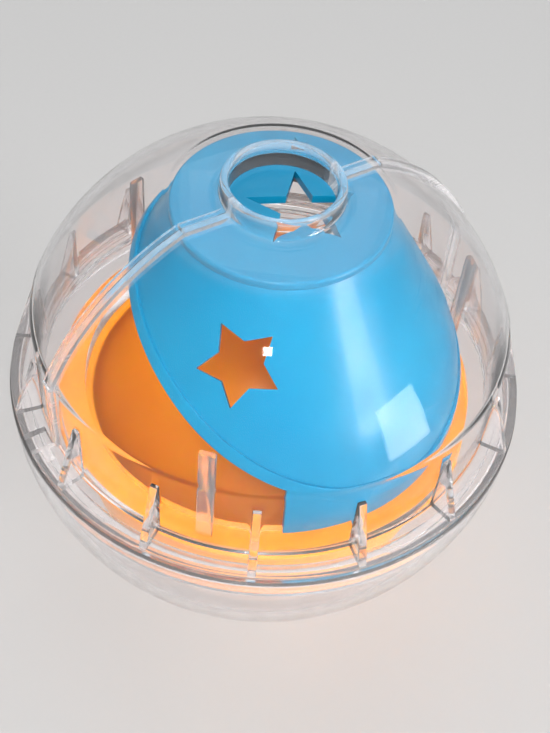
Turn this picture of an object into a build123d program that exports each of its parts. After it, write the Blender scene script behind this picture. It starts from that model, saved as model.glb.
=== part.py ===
"""Treat dispensing ball: a clear screw-together ball round an orange tray and a turning blue lid."""
import math
import os

from build123d import *

# Clear ball, millimetres, heights measured from the ball's centre
ball_radius = 50.0
bowl_wall = 1.8
foot_radius = 13.0
rim_height = 1.6

# Clear dome, split into a front and a back half at the plane y = 0
dome_inset = 1.5
dome_wall = 1.2
deck_wall = 1.2
deck_radius = 19.3
mouth_radius = 9.3
mouth_wall = 1.4
mouth_rise = 3.9
mouth_fillet = 2.2
crease_height = 19.25
flange_inset = 0.4
flange_thickness = 1.7
spigot_wall = 1.6
spigot_depth = 6.0
spigot_clearance = 0.4
seam_gap = 0.16
seam_bead_width = 1.2
seam_bead_rise = 0.8
flange_end_gap = 4.0
gussets_per_half = 8
gusset_thickness = 1.5
gusset_height = 13.1
gusset_tip = 0.7

# Orange tray that stands on the floor of the bowl
tray_foot_radius = 7.5
tray_wall = 1.5
tray_drop = 8.0
tray_rim_drop = 4.5
tray_flange_gap = 2.0
tray_flange_width = 7.0
tray_flange_thickness = 1.5

# Blue lid: a hood about the ball's centre, cut open on one side along a tilted plane
lid_clearance = 9.5
lid_wall = 1.5
lid_tilt = 25.8
lid_lean_bearing = 30.2
lid_half_angle = 60.5
lid_skirt_start = -26.0
lid_skirt_end = 30.0
lip_width = 2.0
lip_rise = 0.6
lid_star_tip = 7.4
lid_star_inner_share = 0.55
lid_star_colatitude = 41.1
lid_star_bearing = -44.6
lid_star_turn = 70.5
lid_top_inset = 0.3

# Blue disc under the deck
disc_edge_gap = 0.6
disc_thickness = 1.6
disc_star_tip = 9.7
disc_star_inner_share = 0.4
disc_star_offset = 3.5
disc_star_bearing = 42.3
disc_star_turn = 64.9
small_star_tip = 2.2
small_star_inner_share = 0.5
small_star_inset = 3.9
small_star_bearing = 139.0

# Clear cradle between the tray and the lid: a flat ring with upright posts
post_count = 3
post_width = 3.0
post_thickness = 1.3
post_height = 22.5
post_bearing = -46.5
ring_thickness = 3.5
ring_inset = 0.4
ring_bore_inset = 0.5

# Clearances
running_gap = 0.3
deck_gap = 0.3

# Values worked out from the sizes above
reach = 4 * ball_radius
bowl_inner = ball_radius - bowl_wall
foot_drop = math.sqrt(ball_radius**2 - foot_radius**2)
floor_drop = foot_drop - bowl_wall
floor_radius = math.sqrt(bowl_inner**2 - floor_drop**2)
flange_top = rim_height + flange_thickness
flange_radius = ball_radius - flange_inset
dome_radius = ball_radius - dome_inset
dome_inner = dome_radius - dome_wall
deck_height = math.sqrt(dome_radius**2 - deck_radius**2)
deck_under = deck_height - deck_wall
mouth_top = deck_height + mouth_rise
mouth_outer = mouth_radius + mouth_wall
fillet_inset = mouth_fillet * (1 - math.sqrt(2) / 2)
skirt_radius = math.sqrt(dome_radius**2 - crease_height**2)
skirt_inner = skirt_radius - dome_wall
spigot_radius = bowl_inner - spigot_clearance
spigot_inner = spigot_radius - spigot_wall
spigot_end = rim_height - spigot_depth
tray_radius = math.hypot(floor_drop - tray_drop, tray_foot_radius)
tray_flange_radius = skirt_inner - tray_flange_gap
tray_flange_bore = tray_flange_radius - tray_flange_width
lid_radius = dome_inner - lid_clearance
lid_inner = lid_radius - lid_wall
lid_plane = lid_radius * math.cos(math.radians(lid_half_angle))
disc_top = deck_under - deck_gap
disc_under = disc_top - disc_thickness
disc_radius = math.sqrt(dome_inner**2 - disc_top**2) - disc_edge_gap
small_star_offset = disc_radius - small_star_inset
lid_top = disc_radius - lid_top_inset
lid_slope = math.atan2(disc_under, lid_top) - math.acos(lid_radius / math.hypot(lid_top, disc_under))
ring_top = ring_thickness - tray_rim_drop
skirt_edge = ring_top + running_gap
post_inner = lid_radius + lip_rise + running_gap
post_outer = post_inner + post_thickness
ring_bore = lid_inner - ring_bore_inset


def bearing_angle(bearing: float) -> float:
    """Turn about the pole, from +X, of a bearing that is counted from the front towards the right."""
    return bearing - 90


def on_sphere(radius: float, height: float) -> tuple[float, float]:
    """Radius from the pole and height of a point on a sphere about the ball's centre."""
    return (math.sqrt(radius**2 - height**2), height)


def sphere_arc(radius: float, first: float, last: float, centre: float = 0) -> ThreePointArc:
    """Meridian arc of a sphere between two heights above its centre."""
    middle = math.sin((math.asin(first / radius) + math.asin(last / radius)) / 2) * radius
    points = [on_sphere(radius, height) for height in (first, middle, last)]
    return ThreePointArc(*[(across, height + centre) for across, height in points])


def turned(*outline) -> Part:
    """Solid of revolution about the pole of an outline drawn as radius and height."""
    edges = [edge for piece in outline for edge in piece.edges()]
    return revolve(Plane.XZ * make_face(edges), axis=Axis.Z)


def star(tip: float, inner: float) -> Sketch:
    """Five-pointed star with one tip along +Y."""
    corners = []
    for index in range(10):
        across = tip if index % 2 == 0 else inner
        angle = math.radians(90 + 36 * index)
        corners.append((across * math.cos(angle), across * math.sin(angle)))
    return make_face(Polyline(*corners, close=True).edges())


def bottom_bowl() -> Part:
    """Clear lower half: a spherical bowl with a flat foot and a short straight rim."""
    return turned(
        Polyline((0, -floor_drop), (0, -foot_drop), (foot_radius, -foot_drop)),
        sphere_arc(ball_radius, -foot_drop, 0),
        Polyline((ball_radius, 0), (ball_radius, rim_height), (bowl_inner, rim_height), (bowl_inner, 0)),
        sphere_arc(bowl_inner, 0, -floor_drop),
        Line((floor_radius, -floor_drop), (0, -floor_drop)),
    )


def dome_shell() -> Part:
    """Whole dome before it is split: mouth ring, deck, sphere, skirt, flange and screw spigot."""
    skirt_inner_top = on_sphere(dome_inner, math.sqrt(dome_inner**2 - skirt_inner**2))
    deck_under_edge = on_sphere(dome_inner, deck_under)
    return turned(
        Polyline(
            (mouth_radius, deck_under),
            (mouth_radius, mouth_top),
            (mouth_outer, mouth_top),
            (mouth_outer, deck_height + mouth_fillet),
        ),
        ThreePointArc(
            (mouth_outer, deck_height + mouth_fillet),
            (mouth_outer + fillet_inset, deck_height + fillet_inset),
            (mouth_outer + mouth_fillet, deck_height),
        ),
        Line((mouth_outer + mouth_fillet, deck_height), (deck_radius, deck_height)),
        sphere_arc(dome_radius, deck_height, crease_height),
        Polyline(
            (skirt_radius, crease_height),
            (skirt_radius, flange_top),
            (flange_radius, flange_top),
            (flange_radius, rim_height),
            (spigot_radius, rim_height),
            (spigot_radius, spigot_end),
            (spigot_inner, spigot_end),
            (spigot_inner, rim_height),
            (skirt_inner, rim_height),
            skirt_inner_top,
        ),
        sphere_arc(dome_inner, skirt_inner_top[1], deck_under),
        Line(deck_under_edge, (mouth_radius, deck_under)),
    )


def seam_bead() -> Part:
    """Raised band on both sides of the seam, from the flange over the sphere and the deck to the mouth."""
    bead_radius = dome_radius + seam_bead_rise
    bead_skirt = skirt_radius + seam_bead_rise
    middle_wall = dome_radius - dome_wall / 2
    middle_skirt = skirt_radius - dome_wall / 2
    bead_top = math.sqrt(bead_radius**2 - deck_radius**2)
    bead_crease = math.sqrt(bead_radius**2 - bead_skirt**2)
    inner_top = math.sqrt(middle_wall**2 - deck_radius**2)
    inner_crease = math.sqrt(middle_wall**2 - middle_skirt**2)
    strip_root = mouth_outer - mouth_wall / 2
    band = turned(
        sphere_arc(bead_radius, bead_top, bead_crease),
        Polyline(
            (bead_skirt, bead_crease),
            (bead_skirt, flange_top),
            (middle_skirt, flange_top),
            (middle_skirt, inner_crease),
        ),
        sphere_arc(middle_wall, inner_crease, inner_top),
        Polyline(
            (deck_radius, inner_top),
            (strip_root, inner_top),
            (strip_root, bead_top),
            (deck_radius, bead_top),
        ),
    )
    return band & Box(reach, 2 * seam_bead_width + seam_gap, reach)


def gusset(bearing: float) -> Part:
    """Upright triangular web between the skirt and the flange."""
    root = skirt_radius - dome_wall / 2
    top = flange_top + gusset_height
    outline = Polyline(
        (root, flange_top - flange_thickness / 2),
        (flange_radius, flange_top - flange_thickness / 2),
        (flange_radius, flange_top),
        (skirt_radius + gusset_tip, top),
        (root, top),
        close=True,
    )
    web = extrude(Plane.XZ * make_face(outline.edges()), gusset_thickness / 2, both=True)
    return Rot(0, 0, bearing_angle(bearing)) * web


def dome_half(side: int) -> Part:
    """One half of the dome with its gussets: side -1 is the front and side 1 the back."""
    step = 180 / gussets_per_half
    middle = 0 if side < 0 else 180
    bearings = [middle - 90 + step * (index + 1 / 2) for index in range(gussets_per_half)]
    whole = dome_shell() + seam_bead() + [gusset(bearing) for bearing in bearings]
    near = Align.MAX if side < 0 else Align.MIN
    room = Box(reach, reach, reach, align=(Align.CENTER, near, Align.CENTER))
    half = whole & (Pos(0, side * seam_gap / 2, 0) * room)
    if side > 0:
        ledge = flange_radius - skirt_radius - seam_bead_rise
        for end in (-1, 1):
            middle_across = end * (flange_radius - ledge / 2)
            notch = Box(ledge, 2 * flange_end_gap, flange_thickness)
            half -= Pos(middle_across, 0, rim_height + flange_thickness / 2) * notch
    return half


def treat_tray() -> Part:
    """Orange bowl that stands on the floor of the clear bowl, with a flat rim flange."""
    base = tray_drop - floor_drop
    inner = tray_radius - tray_wall
    inner_base = base + tray_wall
    rim = tray_drop - tray_rim_drop
    under = rim - tray_flange_thickness
    top = -tray_rim_drop
    flange_under = top - tray_flange_thickness
    return turned(
        Polyline(
            (0, inner_base - tray_drop),
            (0, base - tray_drop),
            (on_sphere(tray_radius, base)[0], base - tray_drop),
        ),
        sphere_arc(tray_radius, base, under, -tray_drop),
        Polyline(
            (on_sphere(tray_radius, under)[0], flange_under),
            (tray_flange_radius, flange_under),
            (tray_flange_radius, top),
            (tray_flange_bore, top),
            (tray_flange_bore, flange_under),
            (on_sphere(inner, under)[0], flange_under),
        ),
        sphere_arc(inner, under, inner_base, -tray_drop),
        Line((on_sphere(inner, inner_base)[0], inner_base - tray_drop), (0, inner_base - tray_drop)),
    )


def lid_frame() -> Plane:
    """Plane at the ball's centre whose normal is the axis of the lid's tilted lip."""
    tilt = math.radians(lid_tilt)
    lean = math.radians(bearing_angle(lid_lean_bearing))
    normal = (math.sin(tilt) * math.cos(lean), math.sin(tilt) * math.sin(lean), math.cos(tilt))
    return Plane(origin=(0, 0, 0), z_dir=normal)


def star_cutter(tip: float, share: float, colatitude: float, bearing: float, turn: float) -> Part:
    """Star-shaped punch that points outwards from the ball's centre, turned from its meridian."""
    prism = extrude(Rot(0, 0, turn) * star(tip, tip * share), ball_radius)
    return Rot(0, 0, bearing + 180) * Rot(-colatitude, 0, 0) * prism


def hood_body(radius: float) -> Part:
    """Solid ball whose upper part runs in a straight slope up to the disc."""
    slope_foot = (radius * math.cos(lid_slope), radius * math.sin(lid_slope))
    slope_top = (radius - disc_under * math.sin(lid_slope)) / math.cos(lid_slope)
    return turned(
        sphere_arc(radius, -radius, slope_foot[1]),
        Polyline(slope_foot, (slope_top, disc_under), (0, disc_under), (0, -radius)),
    )


def star_lid() -> Part:
    """Blue hood with a raised lip, a deeper skirt on its closed side and a star, open at the top."""
    shell = hood_body(lid_radius) - hood_body(lid_inner)
    above = Box(reach, reach, reach, align=(Align.CENTER, Align.CENTER, Align.MIN))
    hood = shell & (lid_frame().offset(lid_plane) * above)
    upright = Polyline((0, skirt_edge), (reach, skirt_edge), (reach, reach), (0, reach), close=True)
    sweep = lid_skirt_end - lid_skirt_start
    sector = revolve(Plane.XZ * make_face(upright.edges()), axis=Axis.Z, revolution_arc=sweep)
    hood += shell & (Rot(0, 0, bearing_angle(lid_skirt_start)) * sector)
    slab = Box(reach, reach, lip_width, align=(Align.CENTER, Align.CENTER, Align.MIN))
    hood += (hood_body(lid_radius + lip_rise) - hood_body(lid_inner)) & (lid_frame().offset(lid_plane) * slab)
    return hood - star_cutter(
        lid_star_tip, lid_star_inner_share, lid_star_colatitude, lid_star_bearing, lid_star_turn
    )


def star_disc() -> Part:
    """Blue disc on top of the hood, close under the deck, with the star that treats fall through."""
    disc = Cylinder(disc_radius, disc_thickness, align=(Align.CENTER, Align.CENTER, Align.MIN))
    main = Rot(0, 0, disc_star_turn - 90) * star(disc_star_tip, disc_star_tip * disc_star_inner_share)
    small = star(small_star_tip, small_star_tip * small_star_inner_share)
    main_place = Rot(0, 0, bearing_angle(disc_star_bearing)) * Pos(disc_star_offset, 0, 0)
    small_place = Rot(0, 0, bearing_angle(small_star_bearing)) * Pos(small_star_offset, 0, 0)
    turn_back = Rot(0, 0, -bearing_angle(disc_star_bearing))
    disc -= extrude(main_place * turn_back * main, disc_thickness)
    disc -= extrude(small_place * small, disc_thickness)
    return Pos(0, 0, disc_under) * disc


def lid_cradle() -> Part:
    """Clear ring on the tray's flange, with upright posts round the lid that keep it central."""
    ring_reach = tray_flange_radius - ring_inset
    ring = Cylinder(ring_reach, ring_thickness, align=(Align.CENTER, Align.CENTER, Align.MIN))
    ring -= Cylinder(ring_bore, ring_thickness, align=(Align.CENTER, Align.CENTER, Align.MIN))
    cradle = Pos(0, 0, -tray_rim_drop) * ring
    barrel = Cylinder(post_outer, post_height - ring_top, align=(Align.CENTER, Align.CENTER, Align.MIN))
    barrel -= Cylinder(post_inner, post_height - ring_top, align=(Align.CENTER, Align.CENTER, Align.MIN))
    for index in range(post_count):
        turn = Rot(0, 0, bearing_angle(post_bearing + 360 / post_count * index))
        strip = Box(reach, post_width, reach, align=(Align.MIN, Align.CENTER, Align.CENTER))
        cradle += Pos(0, 0, ring_top) * (barrel & (turn * strip))
    return cradle


os.makedirs("parts", exist_ok=True)
pieces = {
    "bottom_bowl": bottom_bowl(),
    "dome_front": dome_half(-1),
    "dome_back": dome_half(1),
    "treat_tray": treat_tray(),
    "lid_cradle": lid_cradle(),
    "star_lid": star_lid(),
    "star_disc": star_disc(),
}
for name, piece in pieces.items():
    export_step(Pos(0, 0, foot_drop) * piece, f"parts/{name}.step")
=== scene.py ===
import logging
import math
from dataclasses import dataclass
from enum import Enum

import bmesh
import bpy
from mathutils import Matrix, Vector


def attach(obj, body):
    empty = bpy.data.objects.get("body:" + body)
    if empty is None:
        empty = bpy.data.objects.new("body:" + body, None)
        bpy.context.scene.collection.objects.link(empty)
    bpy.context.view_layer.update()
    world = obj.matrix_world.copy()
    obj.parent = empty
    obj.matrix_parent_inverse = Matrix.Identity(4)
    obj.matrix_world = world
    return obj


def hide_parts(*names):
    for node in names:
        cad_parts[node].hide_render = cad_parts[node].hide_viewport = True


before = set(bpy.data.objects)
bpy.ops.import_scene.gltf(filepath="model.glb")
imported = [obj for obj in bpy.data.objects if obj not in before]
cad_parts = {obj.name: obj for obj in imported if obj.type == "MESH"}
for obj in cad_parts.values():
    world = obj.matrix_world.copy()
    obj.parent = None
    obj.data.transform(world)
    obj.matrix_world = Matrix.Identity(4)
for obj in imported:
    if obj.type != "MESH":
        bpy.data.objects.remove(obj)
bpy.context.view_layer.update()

MM = 0.001
LOG = logging.getLogger("treat_ball")

Point = tuple[float, float]
Triple = tuple[float, float, float]
Socket = bpy.types.NodeSocket
Material = bpy.types.Material
Piece = bpy.types.Object
Mesh = bmesh.types.BMesh
Element = bmesh.types.BMVert | bmesh.types.BMEdge | bmesh.types.BMFace

COLOUR_SOCKETS = (6, 7)
COLOUR_RESULT = 2
UNTURNED: Triple = (0.0, 0.0, 0.0)
EVEN: Triple = (1.0, 1.0, 1.0)
UP = Vector((0.0, 0.0, 1.0))
WELD = 0.0005 * MM
TURN = 2 * math.pi
STAR_CORNERS = 10


class Body(Enum):
    """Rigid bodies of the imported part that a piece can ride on."""

    BOWL = "bowl"
    DOME = "dome"
    LID = "lid"


class Slot(Enum):
    """Material slots of the record."""

    CLEAR = "clear_plastic"
    ORANGE = "orange_plastic"
    BLUE = "blue_plastic"


class Finish(Enum):
    """Finishes of the pieces, with the record's slot of each."""

    DOME = ("clear_dome", Slot.CLEAR)
    BOWL = ("clear_bowl", Slot.CLEAR)
    CRADLE = ("clear_cradle", Slot.CLEAR)
    ORANGE = ("orange_moulding", Slot.ORANGE)
    BLUE = ("blue_moulding", Slot.BLUE)


class Side(Enum):
    """Half of the dome, with the turn about the pole that takes the back half to it."""

    BACK = 0.0
    FRONT = math.pi


# Node graph helpers


@dataclass
class Graph:
    """Small wrapper round the node tree of one material or world.

    Attributes:
        owner: The material or world that is being written.
    """

    owner: Material | bpy.types.World

    @classmethod
    def start(cls, name: str) -> "Graph":
        """Makes an empty node material.

        Args:
            name: Name of the new material.

        Returns:
            A graph with no nodes yet.
        """
        material = bpy.data.materials.new(name)
        material.use_nodes = True
        material.node_tree.nodes.clear()
        return cls(material)

    def add(self, kind: str, **settings: object) -> bpy.types.Node:
        """Adds one node.

        Args:
            kind: Blender's name of the node type.
            settings: Properties of the node, or values and links of inputs by name with underscores.

        Returns:
            The new node.
        """
        node = self.owner.node_tree.nodes.new(kind)
        for key, value in settings.items():
            label = key.replace("_", " ")
            if isinstance(value, Socket):
                self.link(value, node.inputs[label])
            elif label in node.inputs:
                node.inputs[label].default_value = value
            else:
                setattr(node, key, value)
        return node

    def link(self, source: Socket, target: Socket) -> None:
        """Joins an output socket to an input socket."""
        self.owner.node_tree.links.new(source, target)

    def shown(self, surface: Socket) -> Material:
        """Joins a shader to the output and returns the material."""
        self.add("ShaderNodeOutputMaterial", Surface=surface)
        return self.owner

    def place(self, scale: Triple = EVEN, turn: Triple = UNTURNED) -> Socket:
        """Object coordinates, turned and stretched for one pattern.

        Args:
            scale: Stretch along each axis.
            turn: Turn about each axis, in radians.

        Returns:
            The vector socket to feed a texture.
        """
        points = self.add("ShaderNodeTexCoord").outputs["Object"]
        return self.add("ShaderNodeMapping", Vector=points, Scale=scale, Rotation=turn).outputs["Vector"]

    def along(self, axis: str, space: str = "Object") -> Socket:
        """Coordinate along one axis, which is in metres in an object's own space."""
        points = self.add("ShaderNodeTexCoord").outputs[space]
        return self.add("ShaderNodeSeparateXYZ", Vector=points).outputs[axis]

    def across(self) -> Socket:
        """Distance from the pole, in metres."""
        node = self.add("ShaderNodeVectorMath", operation="LENGTH")
        self.link(self.place((1, 1, 0)), node.inputs[0])
        return node.outputs["Value"]

    def math(self, operation: str, *values: Socket) -> Socket:
        """Joins patterns with one sum.

        Args:
            operation: Blender's name of the sum.
            values: Patterns to feed it.

        Returns:
            The result.
        """
        node = self.add("ShaderNodeMath", operation=operation)
        for value, socket in zip(values, node.inputs):
            self.link(value, socket)
        return node.outputs["Value"]

    def ramp(self, value: Socket, stops: tuple[Point, ...]) -> Socket:
        """Maps a pattern through a row of stops.

        Args:
            value: Pattern from 0 to 1.
            stops: Position and value of each stop, in order.

        Returns:
            The mapped pattern.
        """
        node = self.add("ShaderNodeValToRGB", Fac=value)
        elements = node.color_ramp.elements
        for index, (position, level) in enumerate(stops):
            stop = elements[index] if index < 2 else elements.new(position)
            stop.position = position
            stop.color = (level, level, level, 1.0)
        return node.outputs["Color"]

    def noise(self, vector: Socket, scale: float, detail: float) -> Socket:
        """Noise pattern.

        Args:
            vector: Coordinates to read.
            scale: Cycles per metre before stretching.
            detail: Octaves of finer noise.

        Returns:
            The pattern's strength, about 0 to 1.
        """
        return self.add("ShaderNodeTexNoise", Vector=vector, Scale=scale, Detail=detail).outputs["Fac"]

    def band(self, value: Socket, source: Point, target: Point) -> Socket:
        """Maps one range of a pattern to another range and clamps it.

        Args:
            value: Pattern to map.
            source: Low and high end of the range that is read.
            target: Values given at those ends.

        Returns:
            The mapped pattern.
        """
        ends = {"From_Min": source[0], "From_Max": source[1], "To_Min": target[0], "To_Max": target[1]}
        return self.add("ShaderNodeMapRange", Value=value, **ends).outputs["Result"]

    def tint(self, value: Socket, low: Triple, high: Triple) -> Socket:
        """Colour that runs from low to high with a pattern."""
        node = self.add("ShaderNodeMix", data_type="RGBA", Factor=value)
        for socket, colour in zip(COLOUR_SOCKETS, (low, high)):
            node.inputs[socket].default_value = (*colour, 1.0)
        return node.outputs[COLOUR_RESULT]

    def bump(self, height: Socket, strength: float, depth: float) -> Socket:
        """Bumped normal.

        Args:
            height: Pattern of heights.
            strength: Share of the bump that shows.
            depth: Height of the pattern in metres.

        Returns:
            The normal socket.
        """
        node = self.add("ShaderNodeBump", Height=height, Strength=strength, Distance=depth)
        return node.outputs["Normal"]

    def scratched(self, rough: Socket, scratches: "Scratches") -> Socket:
        """Adds fine scratches to a roughness pattern.

        Args:
            rough: Roughness without scratches.
            scratches: Size, directions and strength of the scratches.

        Returns:
            The roughness with scratches.
        """
        for turn in scratches.turns:
            streak = self.noise(self.place(scratches.scale, turn), *scratches.noise)
            rough = self.math("ADD", rough, self.band(streak, scratches.span, (0.0, scratches.roughness)))
        return rough


@dataclass(frozen=True)
class Scratches:
    """Fine scratches, drawn as noise stretched along one line.

    Attributes:
        scale: Stretch of the noise.
        turns: Direction of each set of scratches.
        roughness: Roughness that a scratch adds.
        span: Range of the noise over which a scratch fades in.
        noise: Scale and octaves of the noise.
    """

    scale: Triple
    turns: tuple[Triple, ...]
    roughness: float
    span: Point = (0.735, 0.76)
    noise: Point = (1.0, 1.0)


@dataclass(frozen=True)
class ClearPlastic:
    """Clear moulded plastic with fine scratches, faint flow ripples and handling haze.

    Attributes:
        stops: Clearness by height, as shares of the reach and of full clearness.
        seam: Half width of the frosted band along the seam, or none.
        rim: Distance from the pole beyond which webs, flange and spigot are hazy, or none.
        shade: Share of the lamps' light that passes through a wall.
        mirror: Strength of the reflections.
        haze: Scale and octaves of the handling haze.
        ripple: Scale and octaves of the flow ripples.
    """

    stops: tuple[Point, ...]
    seam: float | None = None
    rim: float | None = None
    seam_clearness: float = 0.93
    rim_clearness: float = 0.94
    reach: float = 0.1
    tint: Triple = (0.975, 0.962, 0.965)
    shade: Triple = (0.95, 0.945, 0.945)
    index: float = 1.35
    mirror: float = 0.4
    roughness: Point = (0.012, 0.07)
    seam_roughness: float = 0.2
    seam_edge_share: float = 0.96
    rim_edge_share: float = 0.995
    scratches: Scratches = Scratches((30.0, 30.0, 1500.0), ((0.7, 0.35, 0.0), (2.1, 1.05, 0.0)), 0.12)
    ripple: Point = (70.0, 2.0)
    ripple_depth: float = 0.12 * MM
    ripple_strength: float = 0.35
    haze: Point = (240.0, 6.0)
    haze_span: Point = (0.45, 0.75)

    def build(self, name: str) -> Material:
        """Writes the material.

        Args:
            name: Name of the material.

        Returns:
            The finished material, which lets lamps light what is inside the ball.
        """
        graph = Graph.start(name)
        haze = graph.noise(graph.place(), *self.haze)
        ripple = graph.noise(graph.place(), *self.ripple)
        rough = graph.scratched(graph.band(haze, self.haze_span, self.roughness), self.scratches)
        height = graph.band(graph.along("Z"), (0.0, self.reach), (0.0, 1.0))
        clear = graph.ramp(height, self.stops)
        if self.seam is not None:
            away = graph.math("ABSOLUTE", graph.along("Y"))
            edge = (self.seam * self.seam_edge_share, self.seam)
            clear = graph.math("MINIMUM", clear, graph.band(away, edge, (self.seam_clearness, 1.0)))
            rough = graph.math("ADD", rough, graph.band(away, edge, (self.seam_roughness, 0.0)))
        if self.rim is not None:
            edge = (self.rim * self.rim_edge_share, self.rim)
            outside = graph.band(graph.across(), edge, (1.0, self.rim_clearness))
            clear = graph.math("MINIMUM", clear, outside)
        shader = graph.add(
            "ShaderNodeBsdfPrincipled",
            Base_Color=(*self.tint, 1.0),
            IOR=self.index,
            Specular_Tint=(self.mirror, self.mirror, self.mirror, 1.0),
            Transmission_Weight=clear,
            Roughness=rough,
            Normal=graph.bump(ripple, self.ripple_strength, self.ripple_depth),
        )
        passing = graph.add("ShaderNodeBsdfTransparent", Color=(*self.shade, 1.0))
        shadow = graph.add("ShaderNodeLightPath").outputs["Is Shadow Ray"]
        mix = graph.add("ShaderNodeMixShader", Fac=shadow)
        graph.link(shader.outputs["BSDF"], mix.inputs[1])
        graph.link(passing.outputs["BSDF"], mix.inputs[2])
        return graph.shown(mix.outputs["Shader"])


@dataclass(frozen=True)
class ColouredPlastic:
    """Glossy coloured moulded plastic with cloudy pigment, handling marks and hair scratches.

    Attributes:
        low: Darker colour of the pigment.
        high: Lighter colour of the pigment.
        glow: Share of the light that seeps through the wall.
        cloud: Scale and octaves of the pigment's clouds.
        smear: Scale and octaves of the handling marks.
        grain: Scale and octaves of the moulded grain.
    """

    low: Triple
    high: Triple
    glow: float = 0.0
    glow_reach: float = 2.0 * MM
    glow_colour: Triple = (1.0, 0.5, 0.1)
    roughness: Point = (0.28, 0.42)
    gloss: float = 0.3
    coat: float = 0.12
    coat_roughness: float = 0.08
    cloud: Point = (45.0, 3.0)
    cloud_span: Point = (0.3, 0.7)
    smear: Point = (120.0, 5.0)
    smear_span: Point = (0.35, 0.7)
    grain: Point = (2600.0, 2.0)
    grain_depth: float = 0.02 * MM
    grain_strength: float = 0.3
    scratches: Scratches = Scratches((45.0, 45.0, 1700.0), ((1.0, 1 / 3, 1.0), (2.6, 2.6 / 3, 2.6)), 0.25)

    def build(self, name: str) -> Material:
        """Writes the material.

        Args:
            name: Name of the material.

        Returns:
            The finished material.
        """
        graph = Graph.start(name)
        plain = graph.place()
        cloud = graph.noise(plain, *self.cloud)
        smear = graph.noise(plain, *self.smear)
        grain = graph.noise(plain, *self.grain)
        rough = graph.scratched(graph.band(smear, self.smear_span, self.roughness), self.scratches)
        shader = graph.add(
            "ShaderNodeBsdfPrincipled",
            Base_Color=graph.tint(graph.band(cloud, self.cloud_span, (0.0, 1.0)), self.low, self.high),
            Roughness=rough,
            Normal=graph.bump(grain, self.grain_strength, self.grain_depth),
            Specular_IOR_Level=self.gloss,
            Coat_Weight=self.coat,
            Coat_Roughness=self.coat_roughness,
            Subsurface_Weight=self.glow,
            Subsurface_Scale=self.glow_reach,
            Subsurface_Radius=self.glow_colour,
        )
        return graph.shown(shader.outputs["BSDF"])


@dataclass(frozen=True)
class FloorFinish:
    """Plain pale studio floor with a trace of tooth."""

    colour: Triple = (0.5, 0.495, 0.49)
    grain: Point = (900.0, 2.0)
    grain_span: Point = (0.3, 0.7)
    roughness: Point = (0.55, 0.7)

    def build(self, name: str) -> Material:
        """Writes the material and returns it."""
        graph = Graph.start(name)
        grain = graph.noise(graph.place(), *self.grain)
        rough = graph.band(grain, self.grain_span, self.roughness)
        shader = graph.add("ShaderNodeBsdfPrincipled", Base_Color=(*self.colour, 1.0), Roughness=rough)
        return graph.shown(shader.outputs["BSDF"])


# Object and mesh helpers


def heading(bearing: float, rise: float = 0.0) -> Vector:
    """Direction of an elevation and a bearing, which counts from the front towards the right."""
    level = math.cos(rise)
    return Vector((math.sin(bearing) * level, -math.cos(bearing) * level, math.sin(rise)))


def placed(name: str, data: bpy.types.ID) -> Piece:
    """Makes an object of a mesh, lamp or camera and adds it to the scene."""
    made = bpy.data.objects.new(name, data)
    bpy.context.scene.collection.objects.link(made)
    return made


def written(name: str, bm: Mesh) -> bpy.types.Mesh:
    """Writes a mesh into mesh data of its own and frees it."""
    mesh = bpy.data.meshes.new(name)
    bm.to_mesh(mesh)
    bm.free()
    return mesh


def closed_up(bm: Mesh) -> None:
    """Fills the holes of a mesh and turns its faces outwards."""
    bmesh.ops.holes_fill(bm, edges=[edge for edge in bm.edges if edge.is_boundary])
    bmesh.ops.recalc_face_normals(bm, faces=bm.faces[:])


def section_face(bm: Mesh, corners: list[Vector]) -> list[Element]:
    """Adds one flat face and returns its vertices, edges and face."""
    verts = [bm.verts.new(corner) for corner in corners]
    edges = [bm.edges.new((verts[index - 1], verts[index])) for index in range(len(verts))]
    return [*verts, *edges, *bmesh.ops.contextual_create(bm, geom=edges)["faces"]]


def latitude_arc(radius: float, first: float, last: float, steps: int, centre: float = 0.0) -> list[Triple]:
    """Meridian arc of a sphere as profile corners with no rounding.

    Args:
        radius: Radius of the sphere.
        first: Height of the first point above the sphere's centre.
        last: Height of the last point above the sphere's centre.
        steps: Spans of the arc.
        centre: Height of the sphere's centre.

    Returns:
        Corners as radius, height and rounding.
    """
    start = math.asin(first / radius)
    sweep = math.asin(last / radius) - start
    angles = [start + sweep * index / steps for index in range(steps + 1)]
    return [(radius * math.cos(angle), centre + radius * math.sin(angle), 0.0) for angle in angles]


def rounded(corners: list[Triple], closed: bool, spans: int = 5) -> list[Point]:
    """Rounds the corners of a profile that ask for it.

    Args:
        corners: Radius, height and rounding of each corner.
        closed: True if the last corner joins the first.
        spans: Spans of each rounding.

    Returns:
        Points of the rounded profile.
    """
    points: list[Point] = []
    for index, (across, height, rounding) in enumerate(corners):
        here = Vector((across, height))
        if rounding == 0.0 or (not closed and index in (0, len(corners) - 1)):
            points.append((across, height))
            continue
        before = (Vector(corners[index - 1][:2]) - here).normalized()
        after = (Vector(corners[(index + 1) % len(corners)][:2]) - here).normalized()
        half = before.angle(after) / 2
        centre = here + (before + after).normalized() * (rounding / math.sin(half))
        start = here + before * (rounding / math.tan(half)) - centre
        end = here + after * (rounding / math.tan(half)) - centre
        for step in range(spans + 1):
            ray = start.lerp(end, step / spans).normalized() * rounding
            points.append(tuple(centre + ray))
    return points


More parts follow.
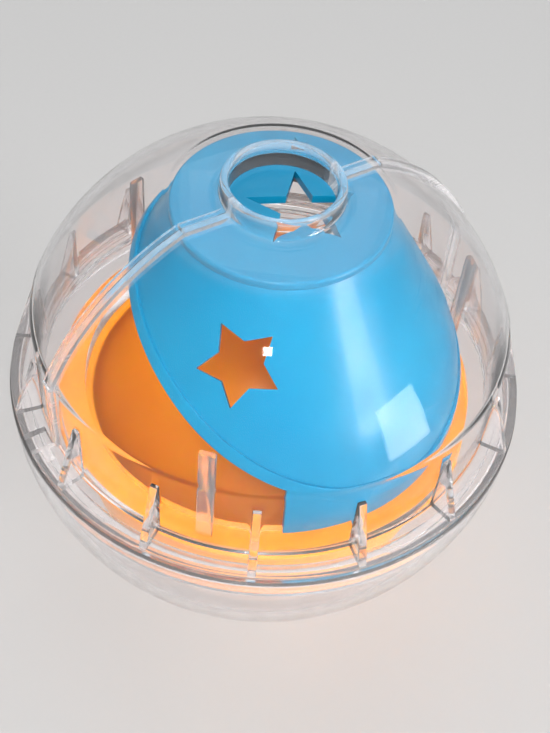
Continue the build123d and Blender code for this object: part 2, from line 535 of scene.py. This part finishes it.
def spun(points: list[Point], closed: bool, steps: int, sweep: float = TURN) -> Mesh:
    """Turns a profile about the pole into a shell.

    Args:
        points: Radius and height of each profile point, measured from the ball's centre.
        closed: True if the profile is a loop.
        steps: Spans round the pole.
        sweep: Angle of the turn. Less than a full turn gives a solid with two end faces.

    Returns:
        Mesh of the shell.
    """
    bm = bmesh.new()
    whole = math.isclose(sweep, TURN)
    verts = [bm.verts.new((across, 0.0, height)) for across, height in points]
    edges = [bm.edges.new(pair) for pair in zip(verts, verts[1:])]
    if closed:
        edges.append(bm.edges.new((verts[-1], verts[0])))
    geometry = [*verts, *edges]
    if not whole:
        geometry += bmesh.ops.contextual_create(bm, geom=edges)["faces"]
    bmesh.ops.spin(
        bm, geom=geometry, cent=(0, 0, 0), axis=(0, 0, 1), angle=sweep, steps=steps, use_merge=whole
    )
    bmesh.ops.remove_doubles(bm, verts=bm.verts[:], dist=WELD)
    if whole:
        bmesh.ops.recalc_face_normals(bm, faces=bm.faces[:])
    else:
        closed_up(bm)
    return bm


def prism(bm: Mesh, outline: list[Vector], along: Vector) -> list[bmesh.types.BMVert]:
    """Adds a straight prism.

    Args:
        bm: Mesh to add to.
        outline: Corners of one end, in order.
        along: Vector from that end to the other.

    Returns:
        Vertices of the prism.
    """
    base = section_face(bm, outline)
    verts = base[: len(outline)]
    made = bmesh.ops.extrude_face_region(bm, geom=base[-1:])["geom"]
    moved = [item for item in made if isinstance(item, bmesh.types.BMVert)]
    bmesh.ops.translate(bm, vec=along, verts=moved)
    faces = {linked for vert in (*verts, *moved) for linked in vert.link_faces}
    bmesh.ops.recalc_face_normals(bm, faces=list(faces))
    return [*verts, *moved]


def bevelled(bm: Mesh, edges: list[bmesh.types.BMEdge], size: float, segments: int) -> None:
    """Rounds some edges with a bevel of round section."""
    shape = {"offset": size, "segments": segments, "profile": 0.5, "clamp_overlap": True}
    bmesh.ops.bevel(bm, geom=edges, affect="EDGES", material=-1, **shape)


@dataclass
class Workshop:
    """Makes objects from meshes and tells the frame what they are.

    Attributes:
        centre: Height of the ball's centre above the foot.
        materials: Material of each finish.
        sliver: Width under which a face left by joining is closed.
        sharp: Angle above which an edge stays sharp.
    """

    centre: float
    materials: dict[Finish, Material]
    sliver: float = 0.001 * MM
    sharp: float = math.radians(32.0)

    def make(self, name: str, bm: Mesh, finish: Finish) -> Piece:
        """Turns a mesh drawn about the ball's centre into an object in the part's frame.

        Args:
            name: Name of the piece.
            bm: Mesh, which is freed.
            finish: Finish of the piece.

        Returns:
            The new object, at the origin.
        """
        bmesh.ops.translate(bm, vec=(0, 0, self.centre), verts=bm.verts[:])
        mesh = written(name, bm)
        piece = placed(name, mesh)
        self.shade(piece)
        mesh.materials.append(self.materials[finish])
        return piece

    def shade(self, piece: Piece) -> None:
        """Smooths a piece's shading and keeps its sharp edges."""
        piece.data.shade_smooth()
        piece.data.set_sharp_from_angle(angle=self.sharp)

    def carve(self, piece: Piece, bm: Mesh, operation: str) -> None:
        """Joins a mesh to a piece or cuts it out of the piece.

        Args:
            piece: Piece that is changed.
            bm: Mesh drawn about the ball's centre, which is freed.
            operation: UNION or DIFFERENCE.
        """
        tool = self.make(piece.name + "_tool", bm, Finish.BOWL)
        modifier = piece.modifiers.new("carve", "BOOLEAN")
        modifier.operation = operation
        modifier.solver = "EXACT"
        modifier.use_self = operation == "UNION"
        modifier.object = tool
        bpy.context.view_layer.update()
        graph = bpy.context.evaluated_depsgraph_get()
        carved = bpy.data.meshes.new_from_object(piece.evaluated_get(graph))
        piece.modifiers.clear()
        old = piece.data
        piece.data = carved
        carved.name = piece.name
        bpy.data.meshes.remove(old)
        spare = tool.data
        bpy.data.objects.remove(tool)
        bpy.data.meshes.remove(spare)
        keep = piece.material_slots[0].material
        carved.materials.clear()
        carved.materials.append(keep)
        self.shade(piece)

    def weld(self, piece: Piece) -> None:
        """Closes the hairline slivers that joining leaves in a piece."""
        bm = bmesh.new()
        bm.from_mesh(piece.data)
        bmesh.ops.remove_doubles(bm, verts=bm.verts[:], dist=self.sliver)
        bmesh.ops.dissolve_degenerate(bm, dist=self.sliver, edges=bm.edges[:])
        bm.to_mesh(piece.data)
        bm.free()
        self.shade(piece)

    def hand_over(self, piece: Piece, body: Body, node: str | None = None) -> None:
        """Declares a finished piece to the frame.

        Args:
            piece: The piece.
            body: Body that it rides on.
            node: CAD node that it stands for, if any.
        """
        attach(piece, body.value)
        if node is not None:
            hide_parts(node)
        LOG.info("%s rides on %s with %d faces", piece.name, body.value, len(piece.data.polygons))


# Sub-assemblies, drawn about the ball's centre


@dataclass
class BottomBowl:
    """Clear bowl with a flat foot and a straight rim."""

    radius: float = 50.0 * MM
    wall: float = 1.8 * MM
    foot: float = 13.0 * MM
    rim: float = 1.6 * MM
    rounding: float = 0.5 * MM
    seat: float = 0.05 * MM
    arc_steps: int = 56
    turn_steps: int = 192

    @property
    def foot_drop(self) -> float:
        """Depth of the foot below the ball's centre."""
        return math.sqrt(self.radius**2 - self.foot**2)

    @property
    def inner(self) -> float:
        """Radius of the bowl's inside."""
        return self.radius - self.wall

    def build(self, shop: Workshop) -> None:
        """Makes the bowl and hands it over."""
        floor = self.foot_drop - self.wall
        corners = [(0.0, -self.foot_drop, 0.0)]
        corners += latitude_arc(self.radius, -self.foot_drop, 0.0, self.arc_steps)
        rim = self.rim - self.seat
        corners += [(self.radius, rim, self.rounding), (self.inner, rim, self.rounding)]
        corners += latitude_arc(self.inner, 0.0, -floor, self.arc_steps)
        corners += [(0.0, -floor, 0.0)]
        bm = spun(rounded(corners, False), False, self.turn_steps)
        shop.hand_over(shop.make("bowl_shell", bm, Finish.BOWL), Body.BOWL, "bottom_bowl")


@dataclass
class Dome:
    """Clear dome in two halves, with mouth ring, deck, skirt, flange, webs and screw spigot."""

    bowl: BottomBowl
    radius: float = 48.5 * MM
    wall: float = 1.2 * MM
    deck_wall: float = 1.2 * MM
    deck: float = 19.3 * MM
    mouth: float = 9.3 * MM
    mouth_wall: float = 1.4 * MM
    mouth_rise: float = 3.9 * MM
    mouth_fillet: float = 2.2 * MM
    crease: float = 19.25 * MM
    flange: float = 49.6 * MM
    flange_thickness: float = 1.7 * MM
    spigot_wall: float = 1.6 * MM
    spigot_depth: float = 6.0 * MM
    spigot_clearance: float = 0.4 * MM
    seam_gap: float = 0.16 * MM
    bead_width: float = 1.2 * MM
    bead_rise: float = 0.8 * MM
    flange_end_gap: float = 4.0 * MM
    web_count: int = 8
    web_thickness: float = 1.5 * MM
    web_height: float = 13.1 * MM
    web_tip: float = 0.7 * MM
    thread_pitch: float = 1.5 * MM
    thread_turns: int = 3
    thread_rise: float = 0.26 * MM
    thread_steps: int = 96
    lip_share: float = 0.49
    mouth_edge: float = 0.4 * MM
    ledge_fillet: float = 0.6 * MM
    flange_edge: float = 0.5 * MM
    flange_foot_edge: float = 0.2 * MM
    spigot_edge: float = 0.3 * MM
    skirt_foot_edge: float = 0.5 * MM
    web_edge: float = 0.25 * MM
    sunk: float = 0.1 * MM
    clear: float = 0.02 * MM
    overrun: float = 1.0 * MM
    arc_steps: int = 40
    turn_steps: int = 120

    @property
    def skirt(self) -> float:
        """Outside radius of the upright skirt."""
        return math.sqrt(self.radius**2 - self.crease**2)

    @property
    def flange_top(self) -> float:
        """Height of the flange's ledge."""
        return self.bowl.rim + self.flange_thickness

    @property
    def deck_top(self) -> float:
        """Height of the deck."""
        return math.sqrt(self.radius**2 - self.deck**2)

    @property
    def deck_under(self) -> float:
        """Height of the deck's underside."""
        return self.deck_top - self.deck_wall

    def profile(self) -> list[Point]:
        """Closed profile of the dome's wall, from the mouth to the spigot and back."""
        inner = self.radius - self.wall
        skirt_inner = self.skirt - self.wall
        mouth_outer = self.mouth + self.mouth_wall
        top = self.deck_top + self.mouth_rise
        spigot = self.bowl.inner - self.spigot_clearance
        spigot_end = self.bowl.rim - self.spigot_depth
        lip = self.mouth_wall * self.lip_share
        corners = [
            (self.mouth, self.deck_under, self.mouth_edge),
            (self.mouth, top, lip),
            (mouth_outer, top, lip),
            (mouth_outer, self.deck_top, self.mouth_fillet),
        ]
        corners += latitude_arc(self.radius, self.deck_top, self.crease, self.arc_steps)
        corners += [
            (self.skirt, self.flange_top, self.ledge_fillet),
            (self.flange, self.flange_top, self.flange_edge),
            (self.flange, self.bowl.rim, self.flange_foot_edge),
            (spigot, self.bowl.rim, 0.0),
            (spigot, spigot_end, self.spigot_edge),
            (spigot - self.spigot_wall, spigot_end, self.spigot_edge),
            (spigot - self.spigot_wall, self.bowl.rim, 0.0),
            (skirt_inner, self.bowl.rim, self.skirt_foot_edge),
        ]
        bend = math.sqrt(inner**2 - skirt_inner**2)
        corners += latitude_arc(inner, bend, self.deck_under, self.arc_steps)
        return rounded(corners, True)

    def webs(self) -> Mesh:
        """Upright triangular webs of the back half."""
        bm = bmesh.new()
        root = self.skirt - self.wall / 2
        foot = self.flange_top - self.flange_thickness / 2
        top = self.flange_top + self.web_height
        end = self.flange - self.sunk
        outline = [(root, foot), (end, foot), (end, self.flange_top)]
        outline += [(self.skirt + self.web_tip, top), (root, top)]
        half = self.web_thickness / 2
        for index in range(self.web_count):
            corners = [Vector((across, -half, height)) for across, height in outline]
            verts = prism(bm, corners, Vector((0, self.web_thickness, 0)))
            turn = Matrix.Rotation(math.pi * (index + 0.5) / self.web_count, 3, "Z")
            bmesh.ops.rotate(bm, cent=(0, 0, 0), matrix=turn, verts=verts)
        bevelled(bm, bm.edges[:], self.web_edge, 2)
        return bm

    def band(self, near: float, far: float) -> list[Point]:
        """Corners of a strip of the bead's width beside the seam, from one distance to another."""
        return [(near, 0.0), (far, 0.0), (far, self.bead_width), (near, self.bead_width)]

    def beads(self) -> Mesh:
        """Raised bands of the back half along both arms of the seam, up to the mouth ring."""
        bm = bmesh.new()
        low = self.radius - self.wall / 2
        high = self.radius + self.bead_rise
        start = math.asin(self.crease / self.radius)
        sweep = math.asin(self.deck_top / self.radius) - start
        root = self.mouth + self.mouth_wall / 2
        base = self.deck_top - self.deck_wall / 2
        strip_rise = math.sqrt(high**2 - self.deck**2) - base
        for end in (1.0, -1.0):
            corners = [
                Vector((end * across * math.cos(start), width, across * math.sin(start)))
                for across, width in self.band(low, high)
            ]
            face = section_face(bm, corners)
            arc = {"angle": -end * sweep, "steps": self.arc_steps}
            bmesh.ops.spin(bm, geom=face, cent=(0, 0, 0), axis=(0, 1, 0), **arc)
            upright = self.band(self.skirt - self.wall / 2, self.skirt + self.bead_rise)
            foot = [Vector((end * across, width, self.flange_top - self.sunk)) for across, width in upright]
            prism(bm, foot, UP * (self.crease - self.flange_top))
            strip = [Vector((end * across, width, base)) for across, width in self.band(root, self.deck)]
            prism(bm, strip, UP * strip_rise)
        closed_up(bm)
        return bm

    def notches(self) -> Mesh:
        """Blocks that take the ends of the back half's flange away beside the seam."""
        bm = bmesh.new()
        ledge = self.skirt + self.bead_rise
        for end in (1.0, -1.0):
            block = bmesh.ops.create_cube(bm, size=1.0)["verts"]
            reach = self.flange - ledge + self.overrun
            size = (reach, 2 * self.flange_end_gap, self.flange_thickness + self.overrun)
            bmesh.ops.scale(bm, vec=size, verts=block)
            place = (end * (ledge + reach / 2), 0.0, self.bowl.rim + size[2] / 2 + self.clear)
            bmesh.ops.translate(bm, vec=place, verts=block)
        return bm

    def build_half(self, shop: Workshop, side: Side) -> None:
        """Makes one half of the dome and hands it over."""
        name = f"dome_{side.name.lower()}"
        bm = spun(self.profile(), True, self.turn_steps, math.pi)
        piece = shop.make(name + "_shell", bm, Finish.DOME)
        shop.carve(piece, self.webs(), "UNION")
        shop.carve(piece, self.beads(), "UNION")
        if side is Side.BACK:
            shop.carve(piece, self.notches(), "DIFFERENCE")
        shop.weld(piece)
        shift = Matrix.Translation((0, self.seam_gap / 2, 0))
        piece.data.transform(Matrix.Rotation(side.value, 4, "Z") @ shift)
        shop.hand_over(piece, Body.DOME, name)

    def build_thread(self, shop: Workshop) -> None:
        """Makes the screw thread on the spigot and hands it over."""
        spigot = self.bowl.inner - self.spigot_clearance
        start = self.bowl.rim - self.spigot_depth + self.thread_pitch / 2
        half = self.thread_pitch / 4
        bm = bmesh.new()
        root = spigot + self.clear
        section = [(root, -half), (spigot + self.thread_rise, 0.0), (root, half)]
        corners = [Vector((across, 0.0, start + height)) for across, height in section]
        steps = self.thread_steps * self.thread_turns
        step_rise = (0, 0, self.thread_pitch * self.thread_turns / steps)
        helix = {"angle": TURN * self.thread_turns, "steps": steps, "dvec": step_rise}
        bmesh.ops.spin(bm, geom=section_face(bm, corners), cent=(0, 0, 0), axis=(0, 0, 1), **helix)
        closed_up(bm)
        shop.hand_over(shop.make("spigot_thread", bm, Finish.DOME), Body.DOME)

    def build(self, shop: Workshop) -> None:
        """Makes both halves and the thread."""
        for side in Side:
            self.build_half(shop, side)
        self.build_thread(shop)


@dataclass
class Tray:
    """Orange bowl with a flat rim flange, standing on the floor of the clear bowl."""

    bowl: BottomBowl
    radius: float = 39.204 * MM
    wall: float = 1.5 * MM
    drop: float = 8.0 * MM
    rim_drop: float = 4.5 * MM
    flange: float = 41.316 * MM
    flange_bore: float = 34.316 * MM
    flange_thickness: float = 1.5 * MM
    edge_share: float = 0.45
    arc_steps: int = 48
    turn_steps: int = 160

    def build(self, shop: Workshop) -> None:
        """Makes the tray and hands it over."""
        floor = self.bowl.wall - self.bowl.foot_drop
        base = floor + self.drop
        inner = self.radius - self.wall
        under = -self.rim_drop - self.flange_thickness
        edge = self.flange_thickness * self.edge_share
        corners = [(0.0, floor, 0.0)]
        corners += latitude_arc(self.radius, base, under + self.drop, self.arc_steps, -self.drop)
        corners += [
            (self.flange, under, edge),
            (self.flange, -self.rim_drop, edge),
            (self.flange_bore, -self.rim_drop, edge),
            (self.flange_bore, under, edge),
        ]
        corners += latitude_arc(inner, under + self.drop, base + self.wall, self.arc_steps, -self.drop)
        corners += [(0.0, floor + self.wall, 0.0)]
        bm = spun(rounded(corners, False), False, self.turn_steps)
        shop.hand_over(shop.make("tray_bowl", bm, Finish.ORANGE), Body.BOWL, "treat_tray")


@dataclass(frozen=True)
class Star:
    """Opening in the shape of a five-pointed star.

    Attributes:
        tip: Distance of the tips from the star's centre.
        share: Distance of the inner corners as a share of the tips'.
        offset: Distance of the star's centre from the pole, an angle on the hood.
        bearing: Bearing of the star's centre.
        turn: Turn of the star about its own centre.
    """

    tip: float
    share: float
    offset: float
    bearing: float
    turn: float

    def outline(self, centre: Vector) -> list[Vector]:
        """Corners in the level plane of a centre, with one tip turned from +Y."""
        corners = []
        step = 360 / STAR_CORNERS
        for index in range(STAR_CORNERS):
            across = self.tip if index % 2 == 0 else self.tip * self.share
            angle = self.turn + math.radians(90 + step * index)
            corner = Vector((across * math.cos(angle), across * math.sin(angle), 0.0))
            corners.append(corner + centre)
        return corners


@dataclass
class StarLid:
    """Blue hood with a raised lip, a deeper skirt, star openings and the disc under the deck."""

    dome: Dome
    tray: Tray
    radius: float = 37.8 * MM
    wall: float = 1.5 * MM
    tilt: float = math.radians(25.8)
    lean: float = math.radians(30.2)
    half_angle: float = math.radians(60.5)
    skirt_start: float = math.radians(-26.0)
    skirt_end: float = math.radians(30.0)
    lip_width: float = 2.0 * MM
    lip_rise: float = 0.6 * MM
    hood_star: Star = Star(7.4 * MM, 0.55, math.radians(41.1), math.radians(-44.6), math.radians(70.5))
    top_inset: float = 0.3 * MM
    ring_thickness: float = 3.5 * MM
    running_gap: float = 0.3 * MM
    deck_gap: float = 0.3 * MM
    disc: float = 19.117 * MM
    disc_thickness: float = 1.6 * MM
    disc_edges: Point = (0.3 * MM, 0.5 * MM)
    disc_steps: int = 160
    mouth_star: Star = Star(9.7 * MM, 0.4, 3.5 * MM, math.radians(42.3), math.radians(64.9 - 90.0))
    small_star: Star = Star(2.2 * MM, 0.5, 15.217 * MM, math.radians(139.0), math.radians(139.0 - 90.0))
    overrun: float = 1.0 * MM
    arc_steps: int = 90
    slope_steps: int = 16
    turn_steps: int = 240
    seam_weld: float = 0.003 * MM
    lip_weld: float = 0.12 * MM
    lip_root: float = 0.2 * MM
    lip_edge: float = 0.35 * MM
    lip_corner: float = 1.0

    @property
    def axis(self) -> Vector:
        """Axis of the lip's tilted circle."""
        return heading(self.lean) * math.sin(self.tilt) + UP * math.cos(self.tilt)

    @property
    def lip_base(self) -> Vector:
        """Centre of the lip's lower edge."""
        return self.axis * (self.radius * math.cos(self.half_angle))

    @property
    def skirt_edge(self) -> float:
        """Height of the skirt's lower edge."""
        return self.ring_thickness - self.tray.rim_drop + self.running_gap

    @property
    def disc_top(self) -> float:
        """Height of the disc's upper face."""
        return self.dome.deck_under - self.deck_gap

    @property
    def disc_under(self) -> float:
        """Height of the disc's lower face, on which the hood ends."""
        return self.disc_top - self.disc_thickness

    @property
    def slope(self) -> float:
        """Latitude at which the hood's straight upper part leaves the sphere."""
        top = self.disc - self.top_inset
        away = math.hypot(top, self.disc_under)
        return math.atan2(self.disc_under, top) - math.acos(self.radius / away)

    def body(self, rise: float) -> Mesh:
        """Turned sheet that the hood and its lip are cut from, open at the top.

        Args:
            rise: Height of the sheet over the hood's outer face.

        Returns:
            Mesh of the sheet.
        """
        radius = self.radius + rise
        top = (radius - self.disc_under * math.sin(self.slope)) / math.cos(self.slope)
        tangent = radius * math.sin(self.slope)
        points = rounded(latitude_arc(radius, -radius, tangent, self.arc_steps), False)
        foot = Vector(points[-1])
        head = Vector((top, self.disc_under))
        steps = range(1, self.slope_steps + 1)
        points += [tuple(foot.lerp(head, step / self.slope_steps)) for step in steps]
        return spun(points, False, self.turn_steps)

    @staticmethod
    def cut(bm: Mesh, point: Vector, normal: Vector) -> None:
        """Cuts a mesh with a plane and keeps the side that the normal points to."""
        geometry = [*bm.verts, *bm.edges, *bm.faces]
        bmesh.ops.bisect_plane(
            bm, geom=geometry, dist=1e-8, plane_co=point, plane_no=normal, clear_inner=True
        )

    def hood_sheet(self) -> Mesh:
        """Outer face of the hood: the part above the lip and the skirt below it."""
        hood = self.body(0.0)
        self.cut(hood, self.lip_base, self.axis)
        skirt = self.body(0.0)
        self.cut(skirt, self.lip_base, -self.axis)
        self.cut(skirt, UP * self.skirt_edge, UP)
        start = heading(self.skirt_start)
        end = heading(self.skirt_end)
        self.cut(skirt, Vector(), UP.cross(start))
        self.cut(skirt, Vector(), end.cross(UP))
        spare = written("skirt_sheet", skirt)
        hood.from_mesh(spare)
        bpy.data.meshes.remove(spare)
        bmesh.ops.remove_doubles(hood, verts=hood.verts[:], dist=self.seam_weld)
        bmesh.ops.recalc_face_normals(hood, faces=hood.faces[:])
        return hood

    def star_punch(self) -> Mesh:
        """Star-shaped punch through the hood."""
        bm = bmesh.new()
        outline = self.hood_star.outline(UP * (self.radius / 2))
        verts = prism(bm, outline, UP * self.radius)
        lean = Matrix.Rotation(-self.hood_star.offset, 3, "X")
        turn = Matrix.Rotation(self.hood_star.bearing + math.pi, 3, "Z")
        bmesh.ops.rotate(bm, cent=(0, 0, 0), matrix=turn @ lean, verts=verts)
        return bm

    def build_hood(self, shop: Workshop) -> None:
        """Makes the hood and hands it over."""
        bm = self.hood_sheet()
        bmesh.ops.solidify(bm, geom=bm.faces[:], thickness=self.wall)
        piece = shop.make("lid_hood", bm, Finish.BLUE)
        shop.carve(piece, self.star_punch(), "DIFFERENCE")
        shop.hand_over(piece, Body.LID, "star_lid")

    def build_lip(self, shop: Workshop) -> None:
        """Makes the raised lip and hands it over."""
        bm = self.body(self.lip_rise)
        self.cut(bm, self.lip_base, self.axis)
        self.cut(bm, self.lip_base + self.axis * self.lip_width, -self.axis)
        bmesh.ops.remove_doubles(bm, verts=bm.verts[:], dist=self.lip_weld)
        bmesh.ops.solidify(bm, geom=bm.faces[:], thickness=self.lip_rise + self.lip_root)
        closed = [edge for edge in bm.edges if edge.is_manifold]
        edges = [edge for edge in closed if edge.calc_face_angle() > self.lip_corner]
        bevelled(bm, edges, self.lip_edge, 3)
        shop.hand_over(shop.make("lid_lip", bm, Finish.BLUE), Body.LID)

    def build_disc(self, shop: Workshop) -> None:
        """Makes the star disc and hands it over."""
        under = self.disc_under
        lower, upper = self.disc_edges
        corners = [(0.0, under, 0.0), (self.disc, under, lower), (self.disc, self.disc_top, upper)]
        corners += [(0.0, self.disc_top, 0.0)]
        bm = spun(rounded(corners, False), False, self.disc_steps)
        piece = shop.make("star_plate", bm, Finish.BLUE)
        for star in (self.mouth_star, self.small_star):
            place = heading(star.bearing) * star.offset + UP * (under - self.overrun)
            punch = bmesh.new()
            prism(punch, star.outline(place), UP * (self.disc_thickness + 2 * self.overrun))
            shop.carve(piece, punch, "DIFFERENCE")
        shop.hand_over(piece, Body.LID, "star_disc")

    def build(self, shop: Workshop) -> None:
        """Makes every blue piece."""
        self.build_hood(shop)
        self.build_lip(shop)
        self.build_disc(shop)


@dataclass
class Cradle:
    """Clear ring on the tray's flange with upright posts round the lid."""

    tray: Tray
    lid: StarLid
    count: int = 3
    width: float = 3.0 * MM
    thickness: float = 1.3 * MM
    height: float = 22.5 * MM
    bearing: float = math.radians(-46.5)
    ring_inset: float = 0.4 * MM
    bore_inset: float = 0.5 * MM
    rounding: float = 0.3 * MM
    turn_steps: int = 160

    def posts(self, bottom: float) -> Mesh:
        """Upright posts that start at a height."""
        inner = self.lid.radius + self.lid.lip_rise + self.lid.running_gap
        half = self.width / 2
        bm = bmesh.new()
        for index in range(self.count):
            outer = inner + self.thickness
            section = [(inner, -half), (outer, -half), (outer, half), (inner, half)]
            corners = [Vector((across, width, bottom)) for across, width in section]
            verts = prism(bm, corners, UP * (self.height - bottom))
            turn = self.bearing + TURN * index / self.count - math.pi / 2
            bmesh.ops.rotate(bm, cent=(0, 0, 0), matrix=Matrix.Rotation(turn, 3, "Z"), verts=verts)
        bevelled(bm, bm.edges[:], self.rounding, 2)
        return bm

    def build(self, shop: Workshop) -> None:
        """Makes the cradle and hands it over."""
        bottom = -self.tray.rim_drop
        top = bottom + self.lid.ring_thickness
        bore = self.lid.radius - self.lid.wall - self.bore_inset
        reach = self.tray.flange - self.ring_inset
        seated = bottom + self.tray.bowl.seat
        corners = [(bore, seated, 0.0), (reach, seated, 0.0)]
        corners += [(reach, top, self.rounding), (bore, top, self.rounding)]
        bm = spun(rounded(corners, True, 3), True, self.turn_steps)
        piece = shop.make("cradle_ring", bm, Finish.CRADLE)
        shop.carve(piece, self.posts((bottom + top) / 2), "UNION")
        shop.hand_over(piece, Body.BOWL, "lid_cradle")


@dataclass(frozen=True)
class Lamp:
    """Soft lamp that faces the ball.

    Attributes:
        name: Name of the lamp.
        bearing: Bearing from the front towards the right, in degrees.
        rise: Elevation, in degrees.
        distance: Distance from the ball's centre.
        size: Width and height of the lamp.
        power: Power in watts.
    """

    name: str
    bearing: float
    rise: float
    distance: float
    size: Point
    power: float


@dataclass
class Studio:
    """Pale floor, soft lamps and the camera at the photograph's viewing angle."""

    centre: float
    floor_size: float = 6.0
    image_height: float = 733.0
    image_width: float = 550.0
    focal_pixels: float = 1100.0
    distance: float = 219.77 * MM
    azimuth: float = -35.0
    elevation: float = 50.0
    roll: float = math.radians(5.7)
    ball_pixel: Point = (265.7, 365.2)
    sensor: float = 36.0
    world_colour: Triple = (0.82, 0.84, 0.87)
    wall_light: float = 0.7
    ceiling_light: float = 0.25
    wall_span: Point = (0.08, 0.4)
    clip_start: float = 0.01
    bounces: int = 24
    fill_bearing: float = -40.0
    fill_rise: float = 52.0
    fill_spread: float = math.radians(37.0)
    fill_strength: float = 2.7
    window: Lamp = Lamp("window", 27.0, 3.0, 0.9, (0.3, 0.52), 7.0)
    back: Lamp = Lamp("back", 145.0, 50.0, 1.5, (1.0, 1.0), 3.0)
    flash: Lamp = Lamp("flash", -35.0, 55.5, 0.6, (0.04, 0.04), 1.2)

    def floor(self) -> None:
        """Makes the floor."""
        bm = bmesh.new()
        bmesh.ops.create_grid(bm, x_segments=1, y_segments=1, size=self.floor_size / 2)
        mesh = written("floor", bm)
        mesh.materials.append(FloorFinish().build("pale_floor"))
        floor = placed("floor", mesh)

    @staticmethod
    def away(bearing: float, rise: float) -> Vector:
        """Direction from the ball that has a bearing and an elevation in degrees."""
        return heading(math.radians(bearing), math.radians(rise))

    def camera(self) -> None:
        """Makes the camera and sets it as the scene's."""
        data = bpy.data.cameras.new("camera")
        data.sensor_fit = "VERTICAL"
        data.sensor_height = self.sensor
        data.lens = self.focal_pixels / self.image_height * self.sensor
        data.shift_x = (self.image_width / 2 - self.ball_pixel[0]) / self.image_height
        data.shift_y = (self.ball_pixel[1] - self.image_height / 2) / self.image_height
        data.clip_start = self.clip_start
        camera = placed("camera", data)
        back = self.away(self.azimuth, self.elevation)
        right = UP.cross(back).normalized()
        up = back.cross(right)
        leaned = right * math.cos(self.roll) + up * math.sin(self.roll)
        upright = back.cross(leaned)
        turn = Matrix((leaned, upright, back)).transposed().to_4x4()
        place = UP * self.centre + back * self.distance
        camera.matrix_world = Matrix.Translation(place) @ turn
        bpy.context.scene.camera = camera

    def fill(self) -> None:
        """Adds the even far light, which shows in no shiny face."""
        data = bpy.data.lights.new("front", "SUN")
        data.energy = self.fill_strength
        data.angle = self.fill_spread
        light = placed("front", data)
        light.visible_glossy = False
        light.visible_transmission = False
        away = self.away(self.fill_bearing, self.fill_rise)
        light.rotation_euler = away.to_track_quat("Z", "Y").to_euler()

    def hang(self, lamp: Lamp) -> None:
        """Adds one soft lamp."""
        data = bpy.data.lights.new(lamp.name, "AREA")
        data.shape = "RECTANGLE"
        data.size, data.size_y = lamp.size
        data.energy = lamp.power
        light = placed(lamp.name, data)
        away = self.away(lamp.bearing, lamp.rise)
        light.location = UP * self.centre + away * lamp.distance
        light.rotation_euler = away.to_track_quat("Z", "Y").to_euler()

    def build(self) -> None:
        """Makes the whole stage."""
        scene = bpy.context.scene
        scene.view_settings.view_transform = "Standard"
        world = bpy.data.worlds.new("studio")
        world.use_nodes = True
        background = world.node_tree.nodes["Background"].inputs
        background["Color"].default_value = (*self.world_colour, 1.0)
        graph = Graph(world)
        levels = (self.wall_light, self.ceiling_light)
        fade = graph.band(graph.along("Z", "Generated"), self.wall_span, levels)
        graph.link(fade, background["Strength"])
        scene.world = world
        self.floor()
        self.camera()
        self.hang(self.window)
        self.fill()
        self.hang(self.back)
        self.hang(self.flash)
        scene.cycles.max_bounces = self.bounces
        scene.cycles.transmission_bounces = self.bounces
        scene.cycles.transparent_max_bounces = self.bounces


def main() -> None:
    """Builds every sub-assembly in order."""
    logging.basicConfig(level=logging.INFO, format="%(message)s")
    bowl = BottomBowl()
    dome_stops = ((0.0, 0.993), (0.913, 0.993), (0.918, 0.965), (0.955, 0.965), (0.96, 0.84))
    bowl_stops = ((0.0, 0.975), (0.42, 0.975), (0.45, 0.94), (1.0, 0.94))
    cradle_stops = ((0.0, 0.993), (0.475, 0.993), (0.48, 0.94), (1.0, 0.94))
    finishes = {
        Finish.DOME: ClearPlastic(dome_stops, seam=1.4 * MM, rim=44.9 * MM),
        Finish.BOWL: ClearPlastic(bowl_stops),
        Finish.CRADLE: ClearPlastic(cradle_stops, roughness=(0.08, 0.2)),
        Finish.ORANGE: ColouredPlastic((0.88, 0.27, 0.001), (0.95, 0.33, 0.002), glow=0.5),
        Finish.BLUE: ColouredPlastic((0.0, 0.18, 0.34), (0.001, 0.22, 0.39)),
    }
    materials = {finish: plastic.build(finish.value[0]) for finish, plastic in finishes.items()}
    shop = Workshop(bowl.foot_drop, materials)
    dome = Dome(bowl)
    tray = Tray(bowl)
    lid = StarLid(dome, tray)
    bowl.build(shop)
    dome.build(shop)
    tray.build(shop)
    lid.build(shop)
    Cradle(tray, lid).build(shop)
    Studio(bowl.foot_drop).build()


if __name__ == "__main__":
    main()
